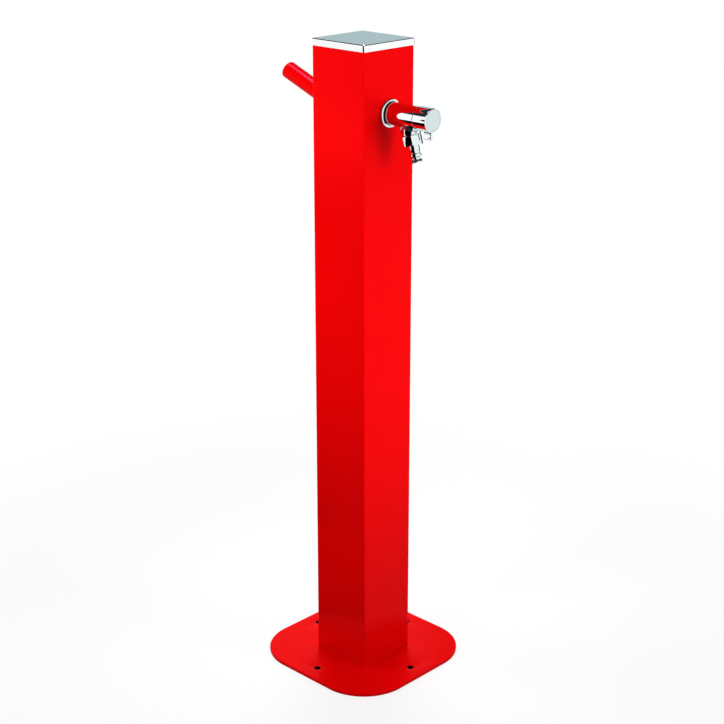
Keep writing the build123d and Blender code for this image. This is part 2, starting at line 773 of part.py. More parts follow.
# Knob: a cup over the valve's hexagon, with a splined hub and a fin to turn it by
knob_radius = knob_diameter / 2
web_start = web_end - knob_web
cover_radius = knob_radius - knob_chamfer - cover_inset
screw_well = cover_radius - cover_ledge
fin_start = knob_end - fin_inset - fin_length
fin_reach = knob_radius + fin_drop
with BuildPart() as tap_knob:
    with BuildSketch(tap_section):
        with BuildLine():
            Polyline(
                (0, hub_start),
                (knob_hub / 2, hub_start),
                (knob_hub / 2, web_start),
                (knob_radius - knob_wall, web_start),
                (knob_radius - knob_wall, knob_start),
                (knob_radius, knob_start),
                (knob_radius, knob_end - knob_chamfer),
                (knob_radius - knob_chamfer, knob_end),
                (cover_radius, knob_end),
                (cover_radius, cover_start),
                (screw_well, cover_start),
                (screw_well, web_end),
                (0, web_end),
                close=True,
            )
        make_face()
    revolve(axis=tap_axis)
    with BuildSketch(Plane.XZ.offset(column_half + fin_start)):
        with Locations((0, tap_height - (fin_reach + screw_well) / 2)):
            Rectangle(fin_thickness, fin_reach - screw_well)
    extrude(amount=fin_length)
    fin_tip = tap_knob.faces().sort_by(Axis.Z)[0]
    fillet(fin_tip.edges(), fin_round)
    with BuildSketch(tap_front.offset(cover_start)):
        Circle(cover_radius)
    extrude(amount=knob_length, mode=Mode.SUBTRACT)
    with BuildSketch(tap_front.offset(web_end)):
        Circle(screw_well)
    extrude(amount=knob_length, mode=Mode.SUBTRACT)
    with BuildSketch(tap_front.offset(hub_start)):
        add(spline_outline(spline_diameter / 2 + running_clearance))
    extrude(amount=spindle_end - hub_start, mode=Mode.SUBTRACT)
    with BuildSketch(tap_front.offset(hub_start)):
        Circle(knob_screw_thread / 2 + thread_clearance)
    extrude(amount=web_end - hub_start, mode=Mode.SUBTRACT)
tap_knob.part.label = "tap_knob"
export_step(tap_knob.part, "parts/tap_knob.step")

with BuildPart() as knob_disc:
    with BuildSketch(tap_front.offset(cover_start)):
        Circle(cover_radius - running_clearance)
    extrude(amount=cover_thickness)
knob_disc.part.label = "knob_disc"
export_step(knob_disc.part, "parts/knob_disc.step")

with BuildPart() as knob_screw:
    with BuildSketch(tap_front.offset(web_end)):
        Circle(knob_screw_head / 2)
    extrude(amount=knob_screw_head_height)
    with BuildSketch(tap_front.offset(web_end)):
        Circle(knob_screw_thread / 2)
    extrude(amount=-knob_screw_length + overrun)
knob_screw.part.label = "knob_screw"
export_step(knob_screw.part, "parts/knob_screw.step")

# Union nut, washer and quick-connect stem on the spout
washer_end = spout_thread_end + washer_thickness
flange_end = washer_end + stem_flange
nut_start = spout_collar_end + nut_gap
nut_bore = spout_thread / 2 + thread_clearance / 2
lip_start = nut_end - nut_lip
lip_bore = stem_shoulder / 2 + stem_clearance
with BuildPart() as union_nut:
    with BuildSketch(spout_end.offset(nut_start)):
        RegularPolygon(nut_hex / 2, 6, major_radius=False, rotation=nut_turn)
    extrude(amount=nut_end - nut_start)
    with BuildSketch(spout_end.offset(nut_start)):
        Circle(nut_bore)
    extrude(amount=flange_end - nut_start, mode=Mode.SUBTRACT)
    with BuildSketch(spout_end.offset(nut_start)):
        Circle(lip_bore)
    extrude(amount=nut_end - nut_start, mode=Mode.SUBTRACT)
union_nut.part.label = "union_nut"
export_step(union_nut.part, "parts/union_nut.step")

flange_radius = spout_thread / 2 - stem_clearance
with BuildPart() as stem_washer:
    with BuildSketch(spout_end.offset(spout_thread_end)):
        Circle(flange_radius)
        Circle(stem_bore / 2 + cage_wall, mode=Mode.SUBTRACT)
    extrude(amount=washer_thickness)
stem_washer.part.label = "stem_washer"
export_step(stem_washer.part, "parts/stem_washer.step")

stem_ridge_end = stem_ridge_start + stem_ridge_length
stem_tip_start = stem_end - stem_tip_length
stem_ring_place = stem_tip_start - stem_ring_section / 2
stem_ring_middle = stem_ridge / 2 - stem_ring_squash - stem_ring_section / 2
stem_ring_seat = stem_ring_middle - stem_ring_section / 2
with BuildPart() as hose_stem:
    with BuildSketch(spout_section):
        with BuildLine():
            Polyline(
                (stem_bore / 2, washer_end),
                (flange_radius, washer_end),
                (flange_radius, flange_end),
                (stem_shoulder / 2, flange_end),
                (stem_shoulder / 2, stem_shoulder_end),
                (stem_diameter / 2, stem_taper_end),
                (stem_diameter / 2, stem_ridge_start - stem_ridge_slope),
                (stem_ridge / 2, stem_ridge_start),
                (stem_ridge / 2, stem_ridge_end),
                (stem_ring_seat, stem_ridge_end + stem_ridge_slope),
                (stem_ring_seat, stem_tip_start),
                (stem_tip_diameter / 2, stem_tip_start),
                (stem_tip_diameter / 2, stem_end),
                (stem_bore / 2, stem_end),
                close=True,
            )
        make_face()
    revolve(axis=spout_axis)
hose_stem.part.label = "hose_stem"
export_step(hose_stem.part, "parts/hose_stem.step")

with BuildPart() as stem_ring:
    with BuildSketch(spout_section):
        with Locations((stem_ring_middle, stem_ring_place)):
            RegularPolygon(stem_ring_section / 2, ring_sides, rotation=180 / ring_sides)
    revolve(axis=spout_axis)
stem_ring.part.label = "stem_ring"
export_step(stem_ring.part, "parts/stem_ring.step")

# Backflow preventer: a cage with a seat and a guide, a poppet that slides and its spring
cage_radius = valve_pocket / 2 - cage_clearance
cage_start = valve_pocket_top
cage_end = cage_start + cage_length
seat_end = cage_start + cage_seat
spider_start = cage_end - cage_spider
with BuildPart() as check_valve_cage:
    with BuildSketch(spout_end.offset(cage_start)):
        Circle(cage_radius)
        Circle(cage_radius - cage_wall, mode=Mode.SUBTRACT)
    extrude(amount=cage_length)
    with BuildSketch(spout_end.offset(cage_start)):
        Circle(cage_radius)
        Circle(cage_seat_diameter / 2, mode=Mode.SUBTRACT)
    extrude(amount=cage_seat)
    with BuildSketch(spout_end.offset(spider_start)):
        Circle(cage_hub / 2)
        with PolarLocations(cage_radius / 2, cage_arms):
            Rectangle(cage_radius - cage_wall / 2, cage_arm)
        Circle(cage_radius, mode=Mode.INTERSECT)
    extrude(amount=cage_spider)
    with BuildSketch(spout_end.offset(spider_start)):
        Circle(poppet_stem / 2 + poppet_clearance)
    extrude(amount=cage_spider, mode=Mode.SUBTRACT)
check_valve_cage.part.label = "check_valve_cage"
export_step(check_valve_cage.part, "parts/check_valve_cage.step")

poppet_start = seat_end + running_clearance
poppet_end = poppet_start + poppet_thickness
with BuildPart() as check_valve_poppet:
    with BuildSketch(spout_section):
        with BuildLine():
            Polyline(
                (0, poppet_start - poppet_nose_height),
                (poppet_nose / 2, poppet_start - poppet_nose_height),
                (cage_seat_diameter / 2 - poppet_clearance, poppet_start),
                (poppet_diameter / 2, poppet_start),
                (poppet_diameter / 2, poppet_end),
                (poppet_stem / 2, poppet_end),
                (poppet_stem / 2, cage_end),
                (0, cage_end),
                close=True,
            )
        make_face()
    revolve(axis=spout_axis)
check_valve_poppet.part.label = "check_valve_poppet"
export_step(check_valve_poppet.part, "parts/check_valve_poppet.step")

# The spring's tube follows smooth pairs of arcs, two for each half turn of the coil
spring_start = poppet_end + spring_wire / 2 + running_clearance
spring_height = spider_start - spring_wire / 2 - running_clearance - spring_start
spring_radius = spring_diameter / 2
spring_plane = Plane(origin=spout_root + spout_down * spring_start, x_dir=(1, 0, 0), z_dir=spout_down)
half_rise = spring_height / (2 * spring_turns)
slope = half_rise / sqrt((pi * spring_radius) ** 2 + half_rise**2)
level = sqrt(1 - slope**2)
chord_squared = (2 * spring_radius) ** 2 + half_rise**2
drop = half_rise * slope
control_reach = (sqrt(drop**2 + level**2 * chord_squared) - drop) / (2 * level**2)
with BuildLine() as spring_route:
    for half_turn in range(2 * spring_turns):
        side = (-1) ** half_turn
        first = Vector(side * spring_radius, 0, half_turn * half_rise)
        last = Vector(-side * spring_radius, 0, (half_turn + 1) * half_rise)
        first_control = first + Vector(0, side * level, slope) * control_reach
        last_control = last - Vector(0, -side * level, slope) * control_reach
        middle = (first_control + last_control) * 0.5
        for begin, control, end in [(first, first_control, middle), (middle, last_control, last)]:
            begin_place = spring_plane.from_local_coords(begin)
            control_place = spring_plane.from_local_coords(control)
            end_place = spring_plane.from_local_coords(end)
            TangentArc(begin_place, end_place, tangent=control_place - begin_place)
with BuildPart() as check_valve_spring:
    with BuildSketch(Plane(origin=spring_route.line @ 0, z_dir=spring_route.line % 0)):
        RegularPolygon(spring_wire / 2, wire_sides)
    sweep(path=spring_route.line)
check_valve_spring.part.label = "check_valve_spring"
export_step(check_valve_spring.part, "parts/check_valve_spring.step")
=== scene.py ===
import json
from math import cos, radians, sin

import bmesh
import bpy
import numpy as np
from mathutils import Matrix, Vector


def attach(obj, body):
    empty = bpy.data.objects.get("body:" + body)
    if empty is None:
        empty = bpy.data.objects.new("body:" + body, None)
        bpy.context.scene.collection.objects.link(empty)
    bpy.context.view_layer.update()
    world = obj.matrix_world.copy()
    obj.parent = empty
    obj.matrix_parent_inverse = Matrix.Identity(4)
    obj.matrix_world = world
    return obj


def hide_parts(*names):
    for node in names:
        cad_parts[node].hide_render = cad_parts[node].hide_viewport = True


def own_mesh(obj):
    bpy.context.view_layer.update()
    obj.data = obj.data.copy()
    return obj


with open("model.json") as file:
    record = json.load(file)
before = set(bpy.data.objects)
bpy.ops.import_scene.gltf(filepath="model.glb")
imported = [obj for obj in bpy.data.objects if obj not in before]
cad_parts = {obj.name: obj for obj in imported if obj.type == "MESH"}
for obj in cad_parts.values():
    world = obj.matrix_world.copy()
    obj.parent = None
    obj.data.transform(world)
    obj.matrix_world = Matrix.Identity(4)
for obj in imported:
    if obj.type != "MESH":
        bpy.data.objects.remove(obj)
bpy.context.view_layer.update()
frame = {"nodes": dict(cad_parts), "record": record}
nodes = frame["nodes"]
mm = 0.001  # the object's sizes below are in millimetres, the studio's in metres
tiny = 1e-6  # lengths and turns below this count as none
weldWithin = 1e-7  # metres between points that become one
print("frame loaded")


# shaders

class Wire:
    # one output of a node; sums and products of wires add Math nodes
    def __init__(self, finish, socket):
        self.finish = finish
        self.socket = socket

    def maths(self, operation, *values):
        return self.finish.node("ShaderNodeMath", {"operation": operation}, dict(enumerate(values)))

    def __add__(self, other):
        return self.maths("ADD", self, other)

    def __radd__(self, other):
        return self.maths("ADD", other, self)

    def __mul__(self, other):
        return self.maths("MULTIPLY", self, other)

    def __rmul__(self, other):
        return self.maths("MULTIPLY", other, self)


class Finish:
    # a node tree, either a material's or the world's
    def __init__(self, name, owner=None):
        self.owner = owner or bpy.data.materials.new(name)
        self.owner.use_nodes = True
        self.tree = self.owner.node_tree
        self.tree.nodes.clear()

    def node(self, kind, settings=None, values=None, output=0):
        # settings go onto the node, a ramp's stops among them, and values or wires into its inputs
        made = self.tree.nodes.new(kind)
        for key, value in (settings or {}).items():
            if key == "stops":
                ramp = made.color_ramp
                while len(ramp.elements) < len(value):
                    ramp.elements.new(1)
                for element, (place, colour) in zip(ramp.elements, value):
                    element.position = place
                    element.color = colour
            else:
                setattr(made, key, value)
        for key, value in (values or {}).items():
            if isinstance(value, Wire):
                self.tree.links.new(value.socket, made.inputs[key])
            else:
                made.inputs[key].default_value = value
        return Wire(self, made.outputs[output]) if made.outputs else None

    def place(self, stretch=(1, 1, 1)):
        # points of the object, multiplied by the stretch, so that a pattern narrows as it grows
        spot = self.node("ShaderNodeTexCoord", output="Object")
        return self.node("ShaderNodeMapping", values={"Vector": spot, "Scale": stretch})

    def noise(self, scale, detail=2.0, stretch=(1, 1, 1), roughness=0.5):
        return self.node("ShaderNodeTexNoise", values={
            "Vector": self.place(stretch), "Scale": scale, "Detail": detail, "Roughness": roughness,
        })

    def span(self, wire, low, high):
        # a 0 to 1 wire spread between two numbers
        return self.node("ShaderNodeMapRange", values={"Value": wire, "To Min": low, "To Max": high})

    def blend(self, first, second, share):
        # two 0 to 1 wires mixed, the second by its share
        return first * (1 - share) + second * share

    def blendColours(self, factor, first, second):
        # a colour Mix node takes these at inputs 0, 6 and 7, and its output 2 is the colour
        wires = {0: factor, 6: first, 7: second}
        return self.node("ShaderNodeMix", {"data_type": "RGBA"}, wires, output=2)

    def bump(self, height, strength, depth):
        # the depth is in millimetres
        return self.node("ShaderNodeBump", values={
            "Height": height, "Strength": strength, "Distance": depth * mm,
        })

    def principled(self, values):
        shader = self.node("ShaderNodeBsdfPrincipled", values=values)
        self.node("ShaderNodeOutputMaterial", values={"Surface": shader})
        return self.owner


def shade(colour):
    # a colour with full alpha
    return (*colour, 1.0)


def redCoat():
    # clouded red with a fine peel in gloss and bump, and part of its gloss tinted
    look = {
        "red": (0.77, 0.0008, 0.0014), "deepRed": (0.73, 0.0006, 0.0010), "cloudScale": 9,
        "peelScale": 520, "peel": 0.02, "peelDepth": 0.3, "peelInGloss": 0.5,
        "gloss": (0.20, 0.30), "tintedGloss": 0.2, "plainGloss": 0.03, "glossTint": (1.0, 0.3, 0.5),
    }
    f = Finish("redPowderCoat")
    cloud = f.noise(look["cloudScale"], detail=3)
    grain = f.noise(look["peelScale"], detail=3, roughness=0.6)
    return f.principled({
        "Base Color": f.blendColours(cloud, shade(look["red"]), shade(look["deepRed"])),
        "Roughness": f.span(f.blend(cloud, grain, look["peelInGloss"]), *look["gloss"]),
        "Metallic": look["tintedGloss"],
        "Specular IOR Level": look["plainGloss"],
        "Specular Tint": shade(look["glossTint"]),
        "Normal": f.bump(grain, look["peel"], look["peelDepth"]),
    })


def polishedSteel():
    # bright sheet with faint clouds, and fine lines drawn out along x and z
    look = {
        "steel": (0.95, 0.96, 0.965), "shadow": (0.91, 0.925, 0.935), "gloss": (0.05, 0.12),
        "lines": (30, 900, 30), "line": 0.02, "lineDepth": 0.1, "cloudScale": 25, "cloudInGloss": 0.4,
    }
    f = Finish("polishedSteel")
    lines = f.noise(1, detail=2, stretch=look["lines"])
    cloud = f.noise(look["cloudScale"], detail=2)
    return f.principled({
        "Base Color": f.blendColours(cloud, shade(look["steel"]), shade(look["shadow"])),
        "Metallic": 1.0,
        "Roughness": f.span(f.blend(lines, cloud, look["cloudInGloss"]), *look["gloss"]),
        "Normal": f.bump(lines, look["line"], look["lineDepth"]),
    })


def chrome():
    # mirror-bright plate, its colour and gloss clouded by small level smears
    look = {
        "chrome": (0.81, 0.88, 0.89), "shadow": (0.75, 0.83, 0.84), "gloss": (0.012, 0.025),
        "smearScale": 90, "smearStretch": (1, 1, 2.5),
    }
    f = Finish("chromePlate")
    smear = f.noise(look["smearScale"], detail=4, stretch=look["smearStretch"])
    return f.principled({
        "Base Color": f.blendColours(smear, shade(look["chrome"]), shade(look["shadow"])),
        "Metallic": 1.0,
        "Roughness": f.span(smear, *look["gloss"]),
    })


def satinChrome():
    # duller plate with a fine grain
    look = {
        "chrome": (0.70, 0.79, 0.79), "shadow": (0.66, 0.75, 0.75), "gloss": (0.16, 0.24),
        "grainScale": 400, "grain": 0.03, "grainDepth": 0.05,
    }
    f = Finish("satinChrome")
    grain = f.noise(look["grainScale"], detail=3)
    return f.principled({
        "Base Color": f.blendColours(grain, shade(look["chrome"]), shade(look["shadow"])),
        "Metallic": 1.0,
        "Roughness": f.span(grain, *look["gloss"]),
        "Normal": f.bump(grain, look["grain"], look["grainDepth"]),
    })


def machined(name, light, dark, gloss, scale, metallic=1.0):
    # turned or cast metal: cloudy colour and gloss, and fine tool marks in gloss and bump
    look = {"marksToCloud": 12, "marks": 0.05, "marksDepth": 0.1, "marksInGloss": 0.4}
    f = Finish(name)
    cloud = f.noise(scale, detail=4)
    marks = f.noise(scale * look["marksToCloud"], detail=2)
    return f.principled({
        "Base Color": f.blendColours(cloud, shade(light), shade(dark)),
        "Metallic": metallic,
        "Roughness": f.span(f.blend(cloud, marks, look["marksInGloss"]), *gloss),
        "Normal": f.bump(marks, look["marks"], look["marksDepth"]),
    })


def blackRubber():
    # black rubber with a pale bloom and a fine grain
    look = {
        "black": (0.012, 0.012, 0.013), "bloom": (0.03, 0.03, 0.032), "gloss": (0.45, 0.65),
        "bloomScale": 260, "grainScale": 1500, "grain": 0.15, "grainDepth": 0.05,
    }
    f = Finish("blackRubber")
    bloom = f.noise(look["bloomScale"], detail=4)
    grain = f.noise(look["grainScale"], detail=2)
    return f.principled({
        "Base Color": f.blendColours(bloom, shade(look["black"]), shade(look["bloom"])),
        "Roughness": f.span(bloom, *look["gloss"]),
        "Normal": f.bump(grain, look["grain"], look["grainDepth"]),
    })


def moulded(name, light, dark, gloss, scale):
    # moulded plastic or fired ceramic: faint clouds, and a fine skin in gloss and bump
    look = {"skinToCloud": 10, "skin": 0.08, "skinDepth": 0.05, "skinInGloss": 0.5}
    f = Finish(name)
    cloud = f.noise(scale, detail=3)
    skin = f.noise(scale * look["skinToCloud"], detail=2)
    return f.principled({
        "Base Color": f.blendColours(cloud, shade(light), shade(dark)),
        "Roughness": f.span(f.blend(cloud, skin, look["skinInGloss"]), *gloss),
        "Normal": f.bump(skin, look["skin"], look["skinDepth"]),
    })


# the keys are the record's slots; a machined or moulded finish is given its name, a light and a
# dark colour, its gloss and its clouds' scale
finishes = {
    "red_coat": redCoat(),
    "polished_steel": polishedSteel(),
    "tap_chrome": chrome(),
    "brass": machined("turnedBrass", (0.78, 0.56, 0.24), (0.62, 0.42, 0.17), (0.18, 0.36), 120),
    "plated_steel": machined("zincPlate", (0.62, 0.64, 0.66), (0.48, 0.51, 0.55), (0.25, 0.42), 150),
    "pipe_steel": machined("pipeSteel", (0.58, 0.58, 0.57), (0.47, 0.47, 0.47), (0.22, 0.38), 60),
    "black_rubber": blackRubber(),
    "white_ceramic": moulded("firedCeramic", (0.86, 0.85, 0.82), (0.80, 0.79, 0.76), (0.12, 0.2), 90),
    "black_plastic": moulded("blackPlastic", (0.018, 0.018, 0.019), (0.03, 0.03, 0.031), (0.35, 0.5), 130),
    "valve_plastic": moulded("valvePlastic", (0.72, 0.73, 0.70), (0.66, 0.67, 0.64), (0.3, 0.45), 150),
}
satin = satinChrome()
# near-black metal, darker than bare steel: painted shade in the plate's holes, the rosette's groove and the
# barrel's end face inside the gap to the knob
paintedShadeMetal = machined("paintedShadeMetal", (0.012, 0.012, 0.013), (0.006, 0.006, 0.006), (0.5, 0.7), 300, 0.8)

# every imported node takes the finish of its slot
slotOf = {part["node"]: part["material_slot"] for part in frame["record"]["subparts"]}
for name, node in nodes.items():
    node.data.materials.clear()
    node.data.materials.append(finishes[slotOf[name]])
print("finishes made")


# surfaces

def roundProfile(corners, steps=7, guard=0.04):
    # each corner (across, along, rounding) of a line becomes an arc, a quadratic curve with the
    # cosine of half its turn as the middle weight; a guard point each side of it keeps the
    # shading of the flats flat, and a rounding of 0 leaves the corner sharp
    corners = np.asarray(corners, float)
    points, radii = corners[:, :2], corners[:, 2:]
    before = np.roll(points, 1, 0) - points
    after = np.roll(points, -1, 0) - points
    before /= np.maximum(np.linalg.norm(before, axis=1, keepdims=True), tiny)
    after /= np.maximum(np.linalg.norm(after, axis=1, keepdims=True), tiny)
    opening = np.arccos(np.clip((before * after).sum(1, keepdims=True), -1, 1))
    reach = radii / np.tan(np.maximum(opening, tiny) / 2)
    start = (points + before * reach)[:, None]
    end = (points + after * reach)[:, None]
    t = np.linspace(0, 1, steps)[None, :, None]
    pull = 2 * np.sin(opening / 2)[:, None] * t * (1 - t)
    arc = (1 - t) ** 2 * start + pull * points[:, None] + t**2 * end
    arc /= (1 - t) ** 2 + pull + t**2
    margin = reach + guard * (radii > 0)
    first = (points + before * margin)[:, None]
    last = (points + after * margin)[:, None]
    line = np.concatenate([first, arc, last], 1)
    sharp = radii[:, 0] == 0
    line[sharp] = points[sharp][:, None]
    line = line.reshape(-1, 2)
    return line[np.r_[True, np.linalg.norm(np.diff(line, axis=0), axis=1) > tiny]]


def gridFaces(rows, columns, wrapRows, wrapColumns):
    # quads of a grid of rows x columns points, closed in either direction where it wraps
    r = np.arange(rows if wrapRows else rows - 1)[:, None]
    c = np.arange(columns if wrapColumns else columns - 1)[None, :]
    rNext = (r + 1) % rows
    cNext = (c + 1) % columns
    around = [r * columns + c, r * columns + cNext, rNext * columns + cNext, rNext * columns + c]
    shape = (r.shape[0], c.shape[1])
    return np.stack([np.broadcast_to(k, shape) for k in around], -1).reshape(-1, 4)


def closed(points):
    # a shell whose last row joins its first
    return points, True, True


def ended(points):
    # a shell whose first and last rows each come down to one point
    return points, False, True


def openSheet(points):
    # a sheet with four free edges
    return points, False, False


def smoothShading(mesh, sharp=None):
    # all faces smooth, apart from edges that turn by more than sharp degrees
    mesh.polygons.foreach_set("use_smooth", np.ones(len(mesh.polygons), bool))
    if sharp:
        mesh.set_sharp_from_angle(angle=radians(sharp))


def makePiece(name, shells, finish, body=None, stands=(), sharp=None):
    # shells is a list of (points in millimetres, wrapRows, wrapColumns), joined into one mesh
    # that is welded and faces outwards
    verts, faces, used = [], [], 0
    for points, wrapRows, wrapColumns in shells:
        rows, columns = points.shape[:2]
        verts.append(points.reshape(-1, 3) * mm)
        faces.append(gridFaces(rows, columns, wrapRows, wrapColumns) + used)
        used += rows * columns
    mesh = bpy.data.meshes.new(name)
    mesh.from_pydata(np.concatenate(verts).tolist(), [], np.concatenate(faces).tolist())
    work = bmesh.new()
    work.from_mesh(mesh)
    bmesh.ops.remove_doubles(work, verts=work.verts, dist=weldWithin)
    bmesh.ops.recalc_face_normals(work, faces=work.faces)
    work.to_mesh(mesh)
    work.free()
    smoothShading(mesh, sharp)
    piece = bpy.data.objects.new(name, mesh)
    bpy.context.scene.collection.objects.link(piece)
    mesh.materials.append(finish)
    if body:
        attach(piece, body)
    if stands:
        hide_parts(*stands)
    return piece


def nodePiece(name, shells, node, body="standpipe", finish=None, sharp=None):
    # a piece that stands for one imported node, by default in the finish of its slot
    slot = slotOf[node]
    return makePiece(name, shells, finish or finishes[slot], body, [node], sharp)


def cutAway(piece, cutters):
    # the cutters' shapes come out of the piece, the cut faces take their finish, and they go
    cutEdges = 35  # degrees
    for cutter in cutters:
        cut = piece.modifiers.new("cut", "BOOLEAN")
        cut.operation = "DIFFERENCE"
        cut.solver = "EXACT"
        cut.material_mode = "TRANSFER"
        cut.object = cutter
    bpy.context.view_layer.update()
    shaped = piece.evaluated_get(bpy.context.evaluated_depsgraph_get())
    result = bpy.data.meshes.new_from_object(shaped)
    piece.modifiers.clear()
    piece.data = result
    for cutter in cutters:
        bpy.data.objects.remove(cutter)
    smoothShading(result, cutEdges)


def axisAt(root, along):
    # an axis is its root, its direction and two directions across it: x, and the cross product of
    # its direction and x
    root, along, across = (np.array(v, float) for v in (root, along, (1, 0, 0)))
    return root, along, across, np.cross(along, across)


def turned(profile, axis, columns=128):
    # a line of (radius, distance along the axis) points turned about the axis: root, plus
    # distance times its direction, plus radius times a circle across it
    root, along, across, up = axis
    profile = np.asarray(profile, float)
    turn = np.linspace(0, 2 * np.pi, columns, endpoint=False)[None, :, None]
    radius = profile[:, 0][:, None, None]
    distance = profile[:, 1][:, None, None]
    return root + distance * along + radius * (np.cos(turn) * across + np.sin(turn) * up)


def roundCorners(steps, guard):
    # directions outwards round four quarter circles, and how far sideways each point slides:
    # only a guard point at each end of a quarter does, to keep the flats' shading flat
    quarter = np.r_[0, np.linspace(0, np.pi / 2, steps), np.pi / 2]
    turn = (np.arange(4)[:, None] * np.pi / 2 + quarter).ravel()
    slide = np.tile(np.r_[-guard, np.zeros(steps), guard], 4)[:, None]
    outwards = np.stack([np.cos(turn), np.sin(turn)], -1)
    return outwards, slide * np.stack([-np.sin(turn), np.cos(turn)], -1)


def squareSweep(profile, half, corner, steps=12, guard=0.3, toMiddle=False):
    # a rounded square pushed out by the profile's first number and raised to its second: corner
    # centres, plus corner radius and push times the directions of the quarter circles; with
    # toMiddle its first and last rows shrink to their middle
    profile = np.asarray(profile, float)
    push, height = profile[:, 0][:, None, None], profile[:, 1][:, None, None]
    outwards, slide = roundCorners(steps, guard)
    diagonal = np.repeat(np.arange(4) * np.pi / 2 + np.pi / 4, steps + 2)
    centre = np.sqrt(2) * (half - corner) * np.stack([np.cos(diagonal), np.sin(diagonal)], -1)
    flat = centre + slide + (corner + push) * outwards
    if toMiddle:
        flat[[0, -1]] *= 0
    return np.concatenate([flat, np.broadcast_to(height, flat.shape[:2] + (1,))], -1)


# column, plate and cap

column = {
    "side": 100, "corner": 2.5, "wall": 2, "foot": 5, "footEdge": 0.2, "top": 947.2, "topEdge": 0.35,
    "arcSteps": 14, "tapHole": 22, "tapHeight": 852, "cutReach": 10, "cutColumns": 64,
}
wall = roundProfile([
    (0, column["foot"], column["footEdge"]), (0, column["top"], column["topEdge"]),
    (-column["wall"], column["top"], column["topEdge"]),
    (-column["wall"], column["foot"], column["footEdge"]),
], steps=4)
tube = squareSweep(wall, column["side"] / 2, column["corner"], column["arcSteps"])
columnTube = nodePiece("columnTube", [closed(tube)], "column_tube")
tapAxis = axisAt((0, -column["side"] / 2, column["tapHeight"]), (0, -1, 0))
bore, depth = column["tapHole"] / 2, column["cutReach"]
hole = turned([(0, -depth), (bore, -depth), (bore, depth), (0, depth)], tapAxis, column["cutColumns"])
cutAway(columnTube, [makePiece("tapHoleCutter", [ended(hole)], finishes["red_coat"])])

plate = {
    "side": 250, "corner": 75, "thickness": 5, "edge": 0.9, "band": 20, "arcSteps": 40,
    "anchorReach": 100, "anchorHole": 9, "anchorColumns": 48, "supplyHole": 70, "supplyColumns": 128,
    "holeEdge": 0.7, "holeSteps": 6, "cutReach": 2,
}


def holeCutter(name, x, y, diameter, columns):
    # the hole widens along a quarter circle at the top and the bottom face; its wall is painted shade
    radius, flare, thickness = diameter / 2, plate["holeEdge"], plate["thickness"]
    bend = np.linspace(0, np.pi / 2, plate["holeSteps"])
    lower = np.c_[radius + flare * (1 - np.sin(bend)), flare * (1 - np.cos(bend))]
    upper = np.c_[lower[::-1, 0], thickness - lower[::-1, 1]]
    below, above = -plate["cutReach"], thickness + plate["cutReach"]
    start = [(0, below), (radius + flare, below)]
    end = [(radius + flare, above), (0, above)]
    profile = np.concatenate([start, lower, upper, end])
    hole = turned(profile, axisAt((x, y, 0), (0, 0, 1)), columns)
    return makePiece(name, [ended(hole)], paintedShadeMetal)


rim = roundProfile([
    (-plate["band"], 0, 0), (0, 0, plate["edge"]),
    (0, plate["thickness"], plate["edge"]), (-plate["band"], plate["thickness"], 0),
])
rim = np.concatenate([rim[:1], rim, rim[-1:]])
slab = squareSweep(rim, plate["side"] / 2, plate["corner"], plate["arcSteps"], toMiddle=True)
basePlate = nodePiece("basePlate", [ended(slab)], "base_plate")
far = plate["anchorReach"]
cutters = [
    holeCutter(f"anchorCutter{k}", x, y, plate["anchorHole"], plate["anchorColumns"])
    for k, (x, y) in enumerate([(far, 0), (0, far), (-far, 0), (0, -far)])
]
cutters.append(holeCutter("supplyCutter", 0, 0, plate["supplyHole"], plate["supplyColumns"]))
cutAway(basePlate, cutters)

cap = {
    "side": 102, "corner": 2.5, "sheet": 0.8, "rim": 10, "top": 950, "bend": 2.0, "innerBend": 1.2,
    "lip": 0.25, "inward": 30, "seam": 0.5, "seamReach": (60, 76), "seamMargin": 1,
}
underside = cap["top"] - cap["sheet"]
hem = cap["top"] - cap["rim"]
fold = roundProfile([
    (-cap["inward"], cap["top"], 0), (0, cap["top"], cap["bend"]), (0, hem, cap["lip"]),
    (-cap["sheet"], hem, cap["lip"]), (-cap["sheet"], underside, cap["innerBend"]),
    (-cap["inward"], underside, 0),
], steps=10)
lid = squareSweep(fold, cap["side"] / 2, cap["corner"], toMiddle=True)
topCap = nodePiece("topCap", [ended(lid)], "top_cap")


def seamCutter(name, turn):
    # a thin upright box through one corner of the skirt: four points at two heights, closed by
    # their middle at both
    low, high = hem - cap["seamMargin"], underside - cap["bend"]
    out = np.array([cos(turn), sin(turn)])
    side = np.array([-sin(turn), cos(turn)]) * cap["seam"] / 2
    near, far = cap["seamReach"]
    ring = np.array([near * out - side, far * out - side, far * out + side, near * out + side])
    middle = np.tile(ring.mean(0), (4, 1))
    rows = [(middle, low), (ring, low), (ring, high), (middle, high)]
    box = np.array([np.c_[row, np.full(4, height)] for row, height in rows])
    return makePiece(name, [ended(box)], finishes["polished_steel"])


cutAway(topCap, [seamCutter(f"seamCutter{k}", radians(45 + 90 * k)) for k in range(4)])
print("column, plate and cap made")


# hose peg

# plainStart is where along its axis the tube's wall is straight, clear of the slanting foot
peg = {
    "height": 850, "diameter": 25, "wall": 2, "length": 108, "rise": 21, "edge": 1.0, "innerEdge": 0.4,
    "plainStart": 20, "disc": 3, "discEdge": 0.6, "discBackEdge": 0.3, "columns": 96,
}
pegAlong = np.array([0, cos(radians(peg["rise"])), sin(radians(peg["rise"]))])
pegAxis = axisAt((0, column["side"] / 2, peg["height"]), pegAlong)
outer = peg["diameter"] / 2
inner = outer - peg["wall"]


